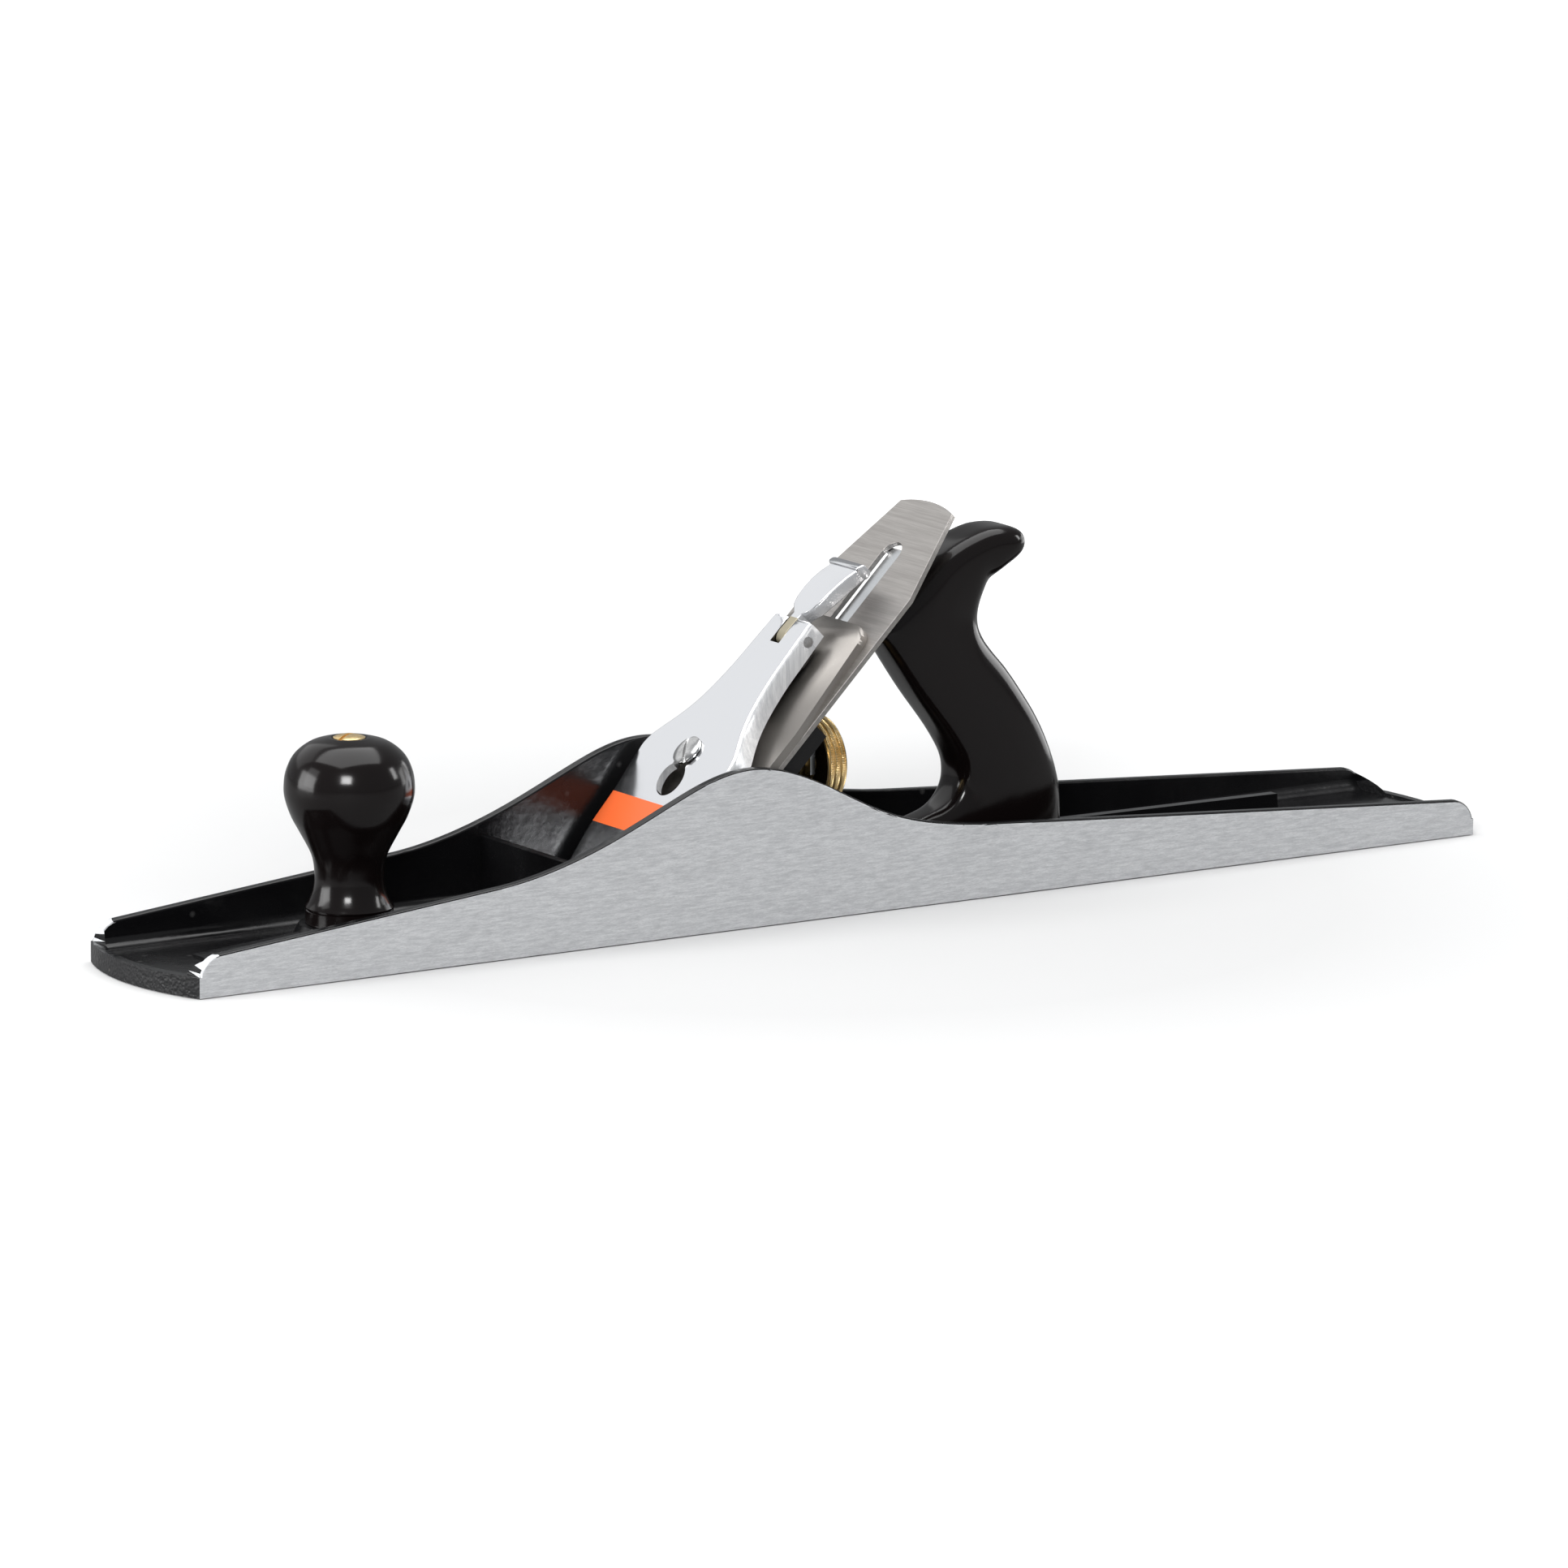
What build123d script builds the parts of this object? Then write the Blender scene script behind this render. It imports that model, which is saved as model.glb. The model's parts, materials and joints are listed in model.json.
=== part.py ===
"""Jointer bench plane, 560 mm long, as separate pieces.

Frame: +X towards the heel, -X towards the toe, +Z up, sole on Z = 0, origin under the middle.
Pieces on the 45 degree bed are drawn flat in (u, v, w): u runs up the cutting iron from its
edge line, v is across (+Y), w stands off the iron's upper face. BED places them in the frame.
"""
import math
import os

from build123d import *

# ---- driving dimensions, mm ----
LENGTH = 560.0
WIDTH = 75.5
TOE_SAGITTA = 8.0
HEEL_SAGITTA = 4.0
CHEEK = 4.0
CHEEK_ROUND = 0.9
FLOOR = 5.0
TOE_RIM_Z = 7.4
HEEL_RIM_Z = 5.9
RIM_WIDTH = 3.0

EDGE_X = -80.2          # where the iron's upper face meets the sole plane
BED_W = -2.0            # the bed is the underside of the iron
MOUTH_FRONT_X = -82.4
MOUTH_HALF = 32.8

IRON_HALF = 30.0
IRON_THICK = 2.0
IRON_LIFT = 0.35        # the edge rests just above the sole
IRON_SLOT_HALF = 5.5
IRON_HOLE_R = 10.2
IRON_HOLE_U = 34.0
IRON_SLOT_END_U = 178.5
IRON_SHOULDER_U = 157.5   # where the clipped corners start
IRON_CORNER_U = 195.5
IRON_CORNER_V = 17.0
IRON_TOP_U = 198.0
CAP_IRON_THICK = 3.2
CAP_IRON_END_U = 140.5
CAP_IRON_TAPER_U = 92.0   # the sides draw in from here up
CAP_IRON_END_HALF = 24.6
CAP_SCREW_U = 48.0
LEVER_SCREW_U = 66.8
YOKE_TIP_U = 76.0

KNOB_X = -187.3
BOSS_Z = 11.5
KNOB_TOP_Z = 78.8

FROG_HALF = 26.5
FROG_TOP_U = 100.5
SEAT_Z = 14.0
LEDGE_Z = 20.0
FROG_SCREW_X = -46.0
FROG_SCREW_Y = 19.0
FROG_SCREW_R = 3.0
FROG_TRAVEL = 1.0

STUD_Z = 49.5
STUD_R = 3.0
STUD_FRONT_X = -13.0
WHEEL_R = 16.5
WHEEL_FRONT_X = 5.8
WHEEL_BACK_X = 14.5
GROOVE_FRONT_X = 0.3
HUB_FLANGE_X = -1.5
HUB_FLANGE_R = 7.5
HUB_CORE_R = 5.5
YOKE_PIN_X = -3.0
YOKE_PIN_Z = 61.0
YOKE_PIN_R = 1.75
YOKE_HUB_R = 3.6

LATERAL_PIVOT_U = 97.5
ROLLER_U = 89.0
ROLLER_R = 5.2
LATERAL_HALF = 4.5
LATERAL_TOP_W = -2.2
LATERAL_BOTTOM_W = -4.2
LATERAL_END_U = 177.0
LATERAL_TAB_HALF = 8.0
LATERAL_TAB_W = -9.0

ADJUST_Z = 19.0
ADJUST_R = 2.5
LUG_FRONT_X = -15.0
LUG_BACK_X = -5.0

CLIP_SCREW_Z = 24.6
SPRING_RIVET_U = 103.0
SPRING_HALF = 8.2
CAM_PIN_U = 124.0
CAM_PIN_W = 12.0
CAM_PIN_R = 2.1
CAP_TOP_W = 15.8
CAP_HALF = 29.5
CAP_END_U = 130.0
CAP_END_HALF = 12.0
CAP_FOOT_U = 7.0
CAP_WALL = 3.0
CAP_ROUND = 1.4
CAP_NOTCH_U = 118.6
CAP_NOTCH_HALF = 2.9

TOTE_HALF = 12.0
TOTE_PAD_Z = 10.5
TOTE_ROD_BASE = (92.0, 8.0)
TOTE_ROD_TOP = (50.6, 111.0)
TOTE_ROUND = 4.0
NUT_R = 5.8
NUT_SEAT_R = 6.0
NUT_SEAT_DEPTH = 4.5
TOTE_BACK_X = 115.5
TOE_SCREW_X = 41.0
TOE_HEAD_Z = 17.0
ROD_R = 3.0

RUNNING = 0.05          # radial clearance of a running fit
SEATED = 0.02           # radial clearance of a shank in its own thread

BED = Plane(origin=(EDGE_X, 0, 0), x_dir=(1, 0, 1), z_dir=(-1, 0, 1))


# ---- helpers ----
def on_bed(shape):
    """Move a piece drawn in (u, v, w) to its place on the bed."""
    return BED.location * shape


def side_face(points):
    """Closed polygon in the X-Z plane."""
    return make_face(Plane.XZ * Polyline(*points, close=True))


def side_plate(points, half, mid=0.0):
    """Polygon in X-Z, as thick as twice half, centred on Y = mid."""
    return Pos(0, mid, 0) * extrude(side_face(points), half, both=True)


def block(x, y, z):
    """Box from three (low, high) pairs."""
    size = Box(x[1] - x[0], y[1] - y[0], z[1] - z[0])
    return Pos((x[0] + x[1]) / 2, (y[0] + y[1]) / 2, (z[0] + z[1]) / 2) * size


def rod_x(radius, x0, x1, y=0.0, z=0.0):
    """Cylinder along X."""
    return Pos((x0 + x1) / 2, y, z) * Rot(0, 90, 0) * Cylinder(radius, x1 - x0)


def rod_y(radius, half, x=0.0, z=0.0, mid=0.0):
    """Cylinder along Y, centred on Y = mid."""
    return Pos(x, mid, z) * Rot(90, 0, 0) * Cylinder(radius, 2 * half)


def rod_z(radius, z0, z1, x=0.0, y=0.0):
    """Cylinder along Z."""
    return Pos(x, y, (z0 + z1) / 2) * Cylinder(radius, z1 - z0)


def slot_z(half, x0, x1, z0, z1, y=0.0):
    """Round-ended slot along X from x0 to x1, cut from z0 to z1."""
    middle = block((x0 + half, x1 - half), (y - half, y + half), (z0, z1))
    return middle + rod_z(half, z0, z1, x0 + half, y) + rod_z(half, z0, z1, x1 - half, y)


def lathe(profile):
    """Turn an (r, z) outline about Z."""
    face = make_face(Plane.XZ * Polyline(*profile, close=True))
    return revolve(face, Axis.Z, 360)


def both_sides(shape):
    """The shape and its mirror across Y = 0."""
    return shape + mirror(shape, Plane.XZ)


# ---- body casting ----
def cheek_profile():
    """Closed side outline of the casting: straight slopes and a high hump beside the iron."""
    toe = LENGTH / 2 + 1
    hump = [(-147.1, 26.2), (-125.9, 29.9), (-98.7, 38.6), (-70.5, 50.6), (-55.0, 56.2), (-41.8, 58.1)]
    hump += [(-30.0, 56.8), (-18.8, 53.2), (-7.3, 48.0), (12.2, 38.2), (30.0, 31.9), (54.3, 27.9)]
    hump += [(80.0, 26.0)]
    top = Spline(*hump, tangents=[(1, 0.097), (1, -0.066)])
    front = Line((-262.5, 15.1), hump[0])
    back = Line(hump[-1], (268.2, 13.5))
    toe_step = ThreePointArc((-271.6, TOE_RIM_Z), (-268.4, 12.8), (-262.5, 15.1))
    heel_step = ThreePointArc((268.2, 13.5), (273.6, 10.6), (275.8, HEEL_RIM_Z))
    base = [(275.8, HEEL_RIM_Z), (toe, HEEL_RIM_Z), (toe, -1), (-toe, -1), (-toe, TOE_RIM_Z)]
    rest = Polyline(*base, (-271.6, TOE_RIM_Z))
    return make_face(Plane.XZ * Curve([front, top, back, heel_step, rest, toe_step]))


def sole_outline(inset, half):
    """Plan outline: straight sides, bowed toe and heel, moved in by inset at the ends."""
    toe = -LENGTH / 2 + inset
    heel = LENGTH / 2 - inset
    left = Line((toe + TOE_SAGITTA, -half), (heel - HEEL_SAGITTA, -half))
    back = ThreePointArc((heel - HEEL_SAGITTA, -half), (heel, 0), (heel - HEEL_SAGITTA, half))
    right = Line((heel - HEEL_SAGITTA, half), (toe + TOE_SAGITTA, half))
    front = ThreePointArc((toe + TOE_SAGITTA, half), (toe, 0), (toe + TOE_SAGITTA, -half))
    return make_face(Curve([left, back, right, front]))


def casting_cavity():
    """The hollow between the cheeks, with coved corners along the floor."""
    tool = Pos(0, 0, FLOOR) * extrude(sole_outline(RIM_WIDTH, WIDTH / 2 - CHEEK), 70)
    low = tool.edges().filter_by_position(Axis.Z, FLOOR - 0.01, FLOOR + 0.01)
    long_edges = low.filter_by(Axis.X)
    return fillet(long_edges, 4.5)


def mouth():
    """Slot for the iron: upright front face, rear face parallel to the iron."""
    rear_w = -3.0
    low = EDGE_X - 2 * rear_w * math.sqrt(0.5)
    points = [(MOUTH_FRONT_X, -1), (low - 1, -1), (low + FLOOR + 1, FLOOR + 1)]
    points += [(MOUTH_FRONT_X - 3.0, FLOOR + 1), (MOUTH_FRONT_X, 2.0)]
    return side_plate(points, MOUTH_HALF)


def knob_boss():
    """Tapered boss under the knob, with a low rib that fades towards the toe."""
    boss = lathe([(0, FLOOR - 1), (23, FLOOR - 1), (21, FLOOR + 1.5), (18.2, BOSS_Z), (0, BOSS_Z)])
    ridge = [(-62, FLOOR - 1), (0, FLOOR - 1), (0, BOSS_Z - 1.5), (-15, BOSS_Z - 2), (-62, FLOOR + 1)]
    rib = side_plate(ridge, 5.0)
    return Pos(KNOB_X, 0, 0) * (boss + rib)


def cross_rib():
    """Web across the casting ahead of the mouth, a little lower in the middle."""
    return block((-111.6, -108.2), (-WIDTH / 2 + 1, WIDTH / 2 - 1), (FLOOR - 1, 28.9))


def tote_pad():
    """Raised strip under the tote and the thin rib behind it."""
    pad = side_plate([(24, FLOOR - 1), (121, FLOOR - 1), (118, TOTE_PAD_Z), (28, TOTE_PAD_Z)], 13.0)
    rib = side_plate([(112, FLOOR - 1), (213.5, FLOOR - 1), (212.5, 16.0), (116, 16.6)], 2.0)
    return pad + rib - block((100, TOTE_BACK_X), (-3, 3), (TOTE_PAD_Z, 30))


def frog_seats():
    """Two pads for the frog and the lug for its adjusting screw."""
    pads = both_sides(block((-56, -28), (11, 27), (FLOOR - 1, SEAT_Z)))
    lug = block((LUG_FRONT_X, LUG_BACK_X), (-6, 6), (FLOOR - 1, ADJUST_Z + 5.5))
    lug = fillet(lug.edges().filter_by(Axis.X).group_by(Axis.Z)[-1], 4.0)
    return pads + lug


def cheek_top_edge(edge):
    """True for the long edges along the top of a cheek."""
    box = edge.bounding_box()
    return box.min.Z > 13 and box.size.X > 100 and box.size.Y < 0.2 and box.size.Z > 5


def body_casting():
    outer = extrude(sole_outline(0, WIDTH / 2), 70) & extrude(cheek_profile(), WIDTH, both=True)
    shell = outer - casting_cavity()
    shell = fillet([edge for edge in shell.edges() if cheek_top_edge(edge)], CHEEK_ROUND)
    shell += knob_boss()
    shell += cross_rib()
    shell += tote_pad()
    shell += frog_seats()
    shell -= mouth()
    shell -= rod_z(ROD_R + SEATED, 3.0, 30, KNOB_X)
    shell -= both_sides(rod_z(FROG_SCREW_R + SEATED, 4.0, 20, FROG_SCREW_X, FROG_SCREW_Y))
    shell -= rod_x(ADJUST_R + RUNNING, LUG_FRONT_X - 1, LUG_BACK_X + 1, 0, ADJUST_Z)
    shell -= tote_rod_bar(ROD_R + SEATED, -4.0, 20.0)
    shell -= rod_z(2.5 + SEATED, 3.0, 20, TOE_SCREW_X)
    return shell


# ---- knob ----
def front_knob():
    """Turned knob: collar, narrow waist, round head, and a seat for the nut."""
    side = [(15.9, 17.5), (14.6, 19.8), (13.1, 23.7), (12.5, 29.0), (13.6, 36.3), (17.8, 44.6)]
    side += [(20.8, 50.2), (23.0, 56.6), (23.4, 61.5), (22.5, 67.0), (19.6, 72.6), (14.0, 76.9)]
    side += [(6.8, KNOB_TOP_Z)]
    curve = Spline(*side)
    foot = Polyline(side[-1], (0, KNOB_TOP_Z), (0, BOSS_Z), (15.6, BOSS_Z), (15.9, 13.0), side[0])
    solid = revolve(make_face(Plane.XZ * Curve([curve, foot])), Axis.Z, 360)
    solid -= rod_z(ROD_R + RUNNING, BOSS_Z - 1, KNOB_TOP_Z + 1)
    solid -= rod_z(6.0, 73.5, KNOB_TOP_Z + 2)
    return Pos(KNOB_X, 0, 0) * solid


def knob_stud():
    return rod_z(ROD_R, 3.2, 76.5, KNOB_X)


def slotted_nut(radius, height, dome, bore):
    """Round nut on Z = 0 with a domed top, a screwdriver slot and a blind bore."""
    crown = (radius * radius + dome * dome) / (2 * dome)
    body = rod_z(radius, 0, height + dome)
    body &= Pos(0, 0, height + dome - crown) * Sphere(crown)
    body -= block((-radius - 1, radius + 1), (-0.7, 0.7), (height + dome - 1.6, height + dome + 2))
    body -= rod_z(bore, -1, 3.0)
    return body


def knob_nut():
    return Pos(KNOB_X, 0, 73.5) * Rot(0, 0, 25) * slotted_nut(NUT_R, 5.3, 1.2, ROD_R + SEATED)


# ---- tote ----
def tote_outline():
    """Side outline: long flowing back, spur at the top, nose in front, sloping foot."""
    low = TOTE_PAD_Z - 6
    back = [(114.4, low), (113.3, 29.2), (105.3, 52.7), (91.6, 73.7), (79.6, 88.5)]
    back += [(77.2, 98.5), (82.0, 110.6), (94.2, 118.6), (95.6, 124.4), (91.0, 128.6)]
    top = [(91.0, 128.6), (78.8, 129.0), (60.5, 121.0), (42.0, 105.0), (34.6, 94.6)]
    front = [(34.6, 94.6), (37.6, 89.4), (49.8, 70.8), (63.0, 53.6), (69.6, 40.6), (65.3, 29.1)]
    front += [(54.0, 24.6), (33.0, 19.0), (29.4, 14.5)]
    close = Polyline(front[-1], (front[-1][0], low), back[0])
    return make_face(Plane.XZ * Curve([Spline(*back), Spline(*top), Spline(*front), close]))


def tote():
    """The handle, rounded along both sides, with its rod hole and nut seats."""
    solid = extrude(tote_outline(), TOTE_HALF, both=True)
    solid -= block((0, 140), (-20, 20), (-10, TOTE_PAD_Z))
    upper = [edge for edge in solid.edges() if edge.center().Z > TOTE_PAD_Z + 0.1]
    solid = fillet([edge for edge in upper if abs(edge.center().Y) > TOTE_HALF - 0.01], TOTE_ROUND)
    solid -= tote_rod_bar(ROD_R + RUNNING, -20.0, 140.0)
    solid -= tote_rod_bar(NUT_SEAT_R, rod_length() - NUT_SEAT_DEPTH, 140.0)
    solid -= rod_z(2.5 + RUNNING, 5, 40, TOE_SCREW_X)
    solid -= rod_z(4.9, TOE_HEAD_Z, 40, TOE_SCREW_X)
    return solid


def rod_length():
    return math.dist(TOTE_ROD_BASE, TOTE_ROD_TOP)


def rod_frame():
    """Plane at the foot of the tote rod, its normal along the rod."""
    along = (TOTE_ROD_TOP[0] - TOTE_ROD_BASE[0], 0, TOTE_ROD_TOP[1] - TOTE_ROD_BASE[1])
    return Plane(origin=(TOTE_ROD_BASE[0], 0, TOTE_ROD_BASE[1]), x_dir=(0, 1, 0), z_dir=along)


def tote_rod_bar(radius, low, high):
    """Cylinder on the tote rod's line, from low to high above its foot."""
    return rod_frame().location * rod_z(radius, low, high)


def tote_rod():
    return tote_rod_bar(ROD_R, -3.6, rod_length() - 1.5)


def tote_nut():
    nut = slotted_nut(NUT_R, 5.0, 1.2, ROD_R + SEATED)
    return rod_frame().location * (Pos(0, 0, rod_length() - NUT_SEAT_DEPTH) * nut)


def tote_toe_screw():
    head = Pos(0, 0, TOE_HEAD_Z) * slotted_nut(4.6, 2.2, 1.4, 0.5)
    return Pos(TOE_SCREW_X, 0, 0) * (head + rod_z(2.5, 3.4, TOE_HEAD_Z + 1.5))


# ---- frog ----
def frog_blank():
    """Sloping slab, solid foot, side webs and the block that holds the stud."""
    slab = on_bed(block((9, FROG_TOP_U), (-FROG_HALF, FROG_HALF), (-10, BED_W)))
    slab -= block((-100, 0), (-40, 40), (-10, 7))
    slab -= block((-58.5, 0), (-40, 40), (0, SEAT_Z))
    foot = side_plate([(-58.5, SEAT_Z), (-24, SEAT_Z), (-24, LEDGE_Z), (-44, LEDGE_Z + 1)], FROG_HALF)
    web = [(-52, SEAT_Z), (-24, SEAT_Z), (-24, 22), (-33.5, 22), (-14.3, 51.8), (-5.7, 65.2), (-9, 67)]
    webs = both_sides(side_plate(web, 2.5, FROG_HALF - 2.5))
    middle = side_plate([(-50, SEAT_Z), (-24, SEAT_Z), (-24, 27.5), (-42, 27.5)], 9.0)
    stud_block = side_plate([(-36, 30), (-14, 41.5), (-3, 43), (-3, 55.5), (-12, 55.5)], 8.0)
    ear = [(-16, 50), (-3, 56.3), (0.2, 58.8), (0.4, 62.6), (-2.6, 65), (-8, 66.5), (-12, 60)]
    ears = both_sides(side_plate(ear, 2.0, 7.9))
    return slab + foot + webs + middle + stud_block + ears


def frog_cuts():
    """Slots, recesses and holes of the frog."""
    yoke_low = on_bed(block((72.2, 93), (-5.9, 5.9), (-10.3, 1)))
    yoke_high = on_bed(block((92, 110), (-5.9, 5.9), (-16.0, -7.2)))
    yoke_back = side_plate([(-12, 56.2), (-2.9, 56.2), (3, 56.2), (3, 70), (-8, 70)], 5.9)
    yoke_back &= on_bed(block((70, 130), (-8, 8), (-40, -7.2)))
    lateral = on_bed(block((83.5, 110), (-8, 8), (LATERAL_BOTTOM_W - 0.2, 1)))
    head = on_bed(slot_z(11.5, 36, 61, -7, 1))
    cuts = yoke_low + yoke_high + yoke_back + lateral + head
    for side in (-1, 1):
        y = side * FROG_SCREW_Y
        cuts += block((FROG_SCREW_X - 6.8, FROG_SCREW_X + 6.8), (y - 5.8, y + 5.8), (LEDGE_Z, 60))
        half = FROG_SCREW_R + 0.3
        reach = half + FROG_TRAVEL + 0.2
        cuts += slot_z(half, FROG_SCREW_X - reach, FROG_SCREW_X + reach, SEAT_Z - 1, LEDGE_Z + 1, y)
    cuts += on_bed(rod_z(FROG_SCREW_R + SEATED, -12.0, 1, LEVER_SCREW_U))
    cuts += on_bed(rod_z(2.0 + SEATED, -8.0, 1, LATERAL_PIVOT_U))
    cuts += rod_x(STUD_R + SEATED, STUD_FRONT_X, 0, 0, STUD_Z)
    cuts += rod_y(YOKE_PIN_R + SEATED, 20, YOKE_PIN_X, YOKE_PIN_Z)
    cuts += rod_x(4.2, -28.5, -23, 0, ADJUST_Z)
    cuts += rod_x(1.4 + SEATED, -28.0, -23, 0, CLIP_SCREW_Z)
    return cuts


def frog():
    return frog_blank() - frog_cuts()


def frog_screw_place(shape):
    """The shape at both frog screws."""
    one = Pos(FROG_SCREW_X, -FROG_SCREW_Y, 0) * shape
    return Compound(children=[one, Pos(0, 2 * FROG_SCREW_Y, 0) * copy_of(one)])


def copy_of(shape):
    return Pos(0, 0, 0) * shape


def frog_screws():
    head_z = LEDGE_Z + 1.2
    head = rod_z(4.5, head_z, head_z + 3.4) - block((-5, 5), (-0.6, 0.6), (head_z + 2.0, head_z + 4))
    return frog_screw_place(head + rod_z(FROG_SCREW_R, 4.2, head_z + 0.5))


def frog_washers():
    return frog_screw_place(rod_z(5.2, LEDGE_Z, LEDGE_Z + 1.2) - rod_z(3.1, LEDGE_Z - 1, LEDGE_Z + 2))


def frog_adjusting_screw():
    """Screw along X: collar, groove for the clip, thread in the lug, slotted head behind."""
    screw = rod_x(3.4, -27.0, -24.5, 0, ADJUST_Z)
    screw += rod_x(1.7, -24.6, -21.8, 0, ADJUST_Z)
    screw += rod_x(ADJUST_R, -21.9, 1.0, 0, ADJUST_Z)
    screw += rod_x(4.2, 0.9, 4.4, 0, ADJUST_Z)
    return screw - block((3.0, 6), (-0.6, 0.6), (ADJUST_Z - 6, ADJUST_Z + 6))


def frog_clip():
    plate = block((-24.0, -22.6), (-6, 6), (15.6, CLIP_SCREW_Z + 3))
    plate -= block((-25, -21), (-2.0, 2.0), (10, ADJUST_Z))
    plate -= rod_x(2.0, -25, -21, 0, ADJUST_Z)
    return plate - rod_x(1.5, -25, -21, 0, CLIP_SCREW_Z)


def frog_clip_screw():
    head = rod_x(2.4, -22.6, -21.4, 0, CLIP_SCREW_Z)
    return head + rod_x(1.4, -27.6, -22.0, 0, CLIP_SCREW_Z)


# ---- depth adjustment ----
def depth_wheel():
    """Brass wheel: knurled rim with two grooves, and a hub with the yoke groove in front."""
    rim = rod_x(WHEEL_R, WHEEL_FRONT_X, WHEEL_BACK_X)
    for x in (8.7, 11.6):
        rim -= rod_x(WHEEL_R + 1, x - 0.45, x + 0.45) - rod_x(WHEEL_R - 1.1, x - 1, x + 1)
    rim -= rod_x(WHEEL_R - 3.5, WHEEL_BACK_X - 2.5, WHEEL_BACK_X + 1)
    rim += rod_x(7.0, WHEEL_FRONT_X, WHEEL_BACK_X)
    hub = rod_x(HUB_CORE_R, HUB_FLANGE_X, WHEEL_FRONT_X + 1)
    hub += rod_x(HUB_FLANGE_R, HUB_FLANGE_X, GROOVE_FRONT_X)
    wheel = rim + hub - rod_x(STUD_R + RUNNING, -5, 20)
    return Pos(0, 0, STUD_Z) * wheel


def adjuster_stud():
    return rod_x(STUD_R, STUD_FRONT_X + 0.3, 18.5, 0, STUD_Z)


def yoke_lever():
    """Bell crank: tip up through the iron into the cap iron, fork down over the wheel's hub."""
    tip = YOKE_TIP_U
    arm = [(tip - 2.3, 3.4), (tip + 2.3, 3.4), (tip + 2.3, -5.4), (81, -5.8), (90.5, -6.0), (93, -8.2)]
    arm += [(97.7, -9.0), (96, -14.0), (91, -9.8), (80, -8.7), (tip - 2.3, -8.5)]
    lever = on_bed(side_plate(arm, 3.6))
    lever += rod_y(YOKE_HUB_R, 5.4, YOKE_PIN_X, YOKE_PIN_Z)
    link = [(-2.5, 64.3), (1.6, 63.0), (4.2, 60.2), (4.2, 56.4), (2.0, 56.4), (1.6, 58.0), (-2.5, 57.9)]
    lever += side_plate(link, 5.2)
    lever += block((2.0, 4.2), (-9.6, 9.6), (55.8, 59.6))
    lever += both_sides(block((2.0, 4.2), (6.1, 9.6), (46.5, 57)))
    return lever - rod_y(YOKE_PIN_R + RUNNING, 20, YOKE_PIN_X, YOKE_PIN_Z)


def yoke_pin():
    return rod_y(YOKE_PIN_R, 9.9, YOKE_PIN_X, YOKE_PIN_Z)


# ---- lateral adjustment ----
def lateral_lever():
    """Flat lever behind the iron with a cross tab for the thumb."""
    low, high = LATERAL_BOTTOM_W, LATERAL_TOP_W
    strip = block((ROLLER_U, LATERAL_END_U), (-LATERAL_HALF, LATERAL_HALF), (low, high))
    strip += rod_z(LATERAL_HALF, low, high, ROLLER_U)
    strip += rod_z(6.0, low, high, LATERAL_PIVOT_U)
    tab = (LATERAL_END_U - 2, LATERAL_END_U)
    strip += block(tab, (-LATERAL_TAB_HALF, LATERAL_TAB_HALF), (LATERAL_TAB_W, high))
    strip -= rod_z(2.0 + RUNNING, low - 1, high + 1, LATERAL_PIVOT_U)
    return on_bed(strip)


def lateral_pivot_rivet():
    head = rod_z(3.0, LATERAL_TOP_W, LATERAL_TOP_W + 1.1, LATERAL_PIVOT_U)
    return on_bed(head + rod_z(2.0, -7.1, LATERAL_TOP_W + 0.5, LATERAL_PIVOT_U))


def lateral_roller():
    return on_bed(rod_z(ROLLER_R, LATERAL_TOP_W + 0.1, -0.2, ROLLER_U))


# ---- cutter ----
def cutting_iron():
    """Flat iron: bevel at the edge, clipped and crowned top, long slot with a round hole."""
    bevel = IRON_THICK / math.tan(math.radians(25))
    side = [(IRON_LIFT, 0), (200, 0), (200, BED_W), (IRON_LIFT + bevel, BED_W)]
    right = [(0, IRON_HALF), (IRON_SHOULDER_U, IRON_HALF), (IRON_CORNER_U, IRON_CORNER_V)]
    left = [(u, -v) for u, v in reversed(right)]
    crown = ThreePointArc(right[-1], (IRON_TOP_U, 0), left[0])
    plan = make_face(Curve([Polyline(*left, *right), crown]))
    iron = Pos(0, 0, -3) * extrude(plan, 6)
    iron &= side_plate(side, IRON_HALF + 1)
    iron -= slot_z(IRON_SLOT_HALF, IRON_HOLE_U, IRON_SLOT_END_U, -4, 1)
    iron -= rod_z(IRON_HOLE_R, -4, 1, IRON_HOLE_U)
    return on_bed(iron)


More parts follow.
